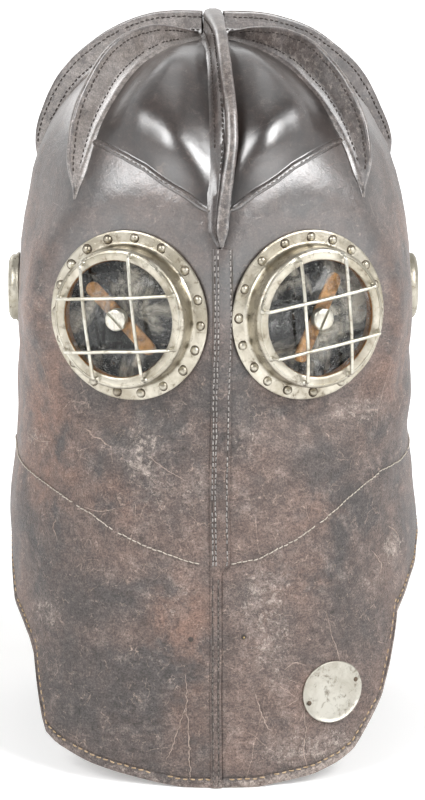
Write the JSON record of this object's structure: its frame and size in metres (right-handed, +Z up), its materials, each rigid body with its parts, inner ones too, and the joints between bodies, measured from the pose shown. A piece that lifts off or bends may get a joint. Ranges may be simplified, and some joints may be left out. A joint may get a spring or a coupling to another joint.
{
  "type": "firefighter smoke helmet",
  "caption": "Leather smoke helmet with a crested, padded crown, round guarded windows with wipers, ear pieces and a flared hem, and an air tank with valve and gauge at the back.",
  "frame": {"origin": "middle of the bounding box at the floor that the helmet's hem stands on", "axes": "the wearer faces -Y, +X is the wearer's left, +Z is up"},
  "size_m": [0.264, 0.3798, 0.4681],
  "materials": {
    "leather": "aged, waxed, half gloss",
    "nickel": "tarnished nickel plate",
    "brass": "aged",
    "steel": "blued",
    "glass": "clear, scratched",
    "felt": "felt",
    "wool": "woollen cloth over padding",
    "enamel": "pale enamel, no figures"
  },
  "bodies": {
    "shell": {"air_tank": "nickel", "back_panel_left": "leather", "back_panel_right": "leather", "back_seam_strip": "leather", "bare_plate": "nickel", "centre_crest": "leather", "crown_pad": "wool", "ear_base_left": "nickel", "ear_base_right": "nickel", "ear_cap_left": "nickel", "ear_cap_right": "nickel", "ear_diaphragm_left": "brass", "ear_diaphragm_right": "brass", "face_panel_left": "leather", "face_panel_right": "leather", "filler_nipple": "brass", "front_crest_left": "leather", "front_crest_right": "leather", "front_crown_gore_left": "leather", "front_crown_gore_right": "leather", "front_seam_strip": "leather", "gauge_case": "brass", "gauge_dial": "enamel", "gauge_glass": "glass", "inlet_nut": "brass", "inner_glass_left": "glass", "inner_glass_right": "glass", "neck_collar": "wool", "outlet_pipe": "brass", "rear_crest_left": "leather", "rear_crest_right": "leather", "shell_inlet": "brass", "tank_saddle": "leather", "tank_strap_left": "nickel", "tank_strap_right": "nickel", "valve_body": "brass", "valve_gland_nut": "brass", "window_bezel_left": "nickel", "window_bezel_right": "nickel", "window_glass_left": "glass", "window_glass_right": "glass", "window_guard_left": "nickel", "window_guard_right": "nickel", "window_retainer_left": "brass", "window_retainer_right": "brass", "window_spacer_left": "brass", "window_spacer_right": "brass"},
    "wiper_left": {"wiper_knob_left": "nickel", "wiper_arm_left": "brass", "wiper_felt_left": "felt"},
    "wiper_right": {"wiper_knob_right": "nickel", "wiper_arm_right": "brass", "wiper_felt_right": "felt"},
    "valve_spindle": {"valve_wheel": "brass", "valve_stem": "brass"},
    "gauge_needle": {"gauge_pointer": "steel"},
    "filler_lid": {"filler_cap": "brass"}
  },
  "joints": [
    {"name": "wiper_left_turn", "type": "hinge", "parent": "shell", "child": "wiper_left", "pos_m": [0.05421, -0.15147, 0.288], "axis": [0.4147, -0.91, 0], "continuous": true},
    {"name": "wiper_right_turn", "type": "hinge", "parent": "shell", "child": "wiper_right", "pos_m": [-0.05421, -0.15147, 0.288], "axis": [-0.4147, -0.91, 0], "continuous": true},
    {"name": "valve_turn", "type": "hinge", "parent": "shell", "child": "valve_spindle", "pos_m": [-0.085, 0.15144, 0.075], "axis": [-1, 0, 0], "range_deg": [0, 270]},
    {"name": "needle_turn", "type": "hinge", "parent": "shell", "child": "gauge_needle", "pos_m": [0.01, 0.14494, 0.1423], "axis": [0, -1, 0], "range_deg": [0, 270], "stiffness_Nm_per_rad": 0.0002},
    {"name": "filler_lid_pull", "type": "slide", "parent": "shell", "child": "filler_lid", "axis": [1, 0, 0], "range_m": [0, 0.012]}
  ]
}
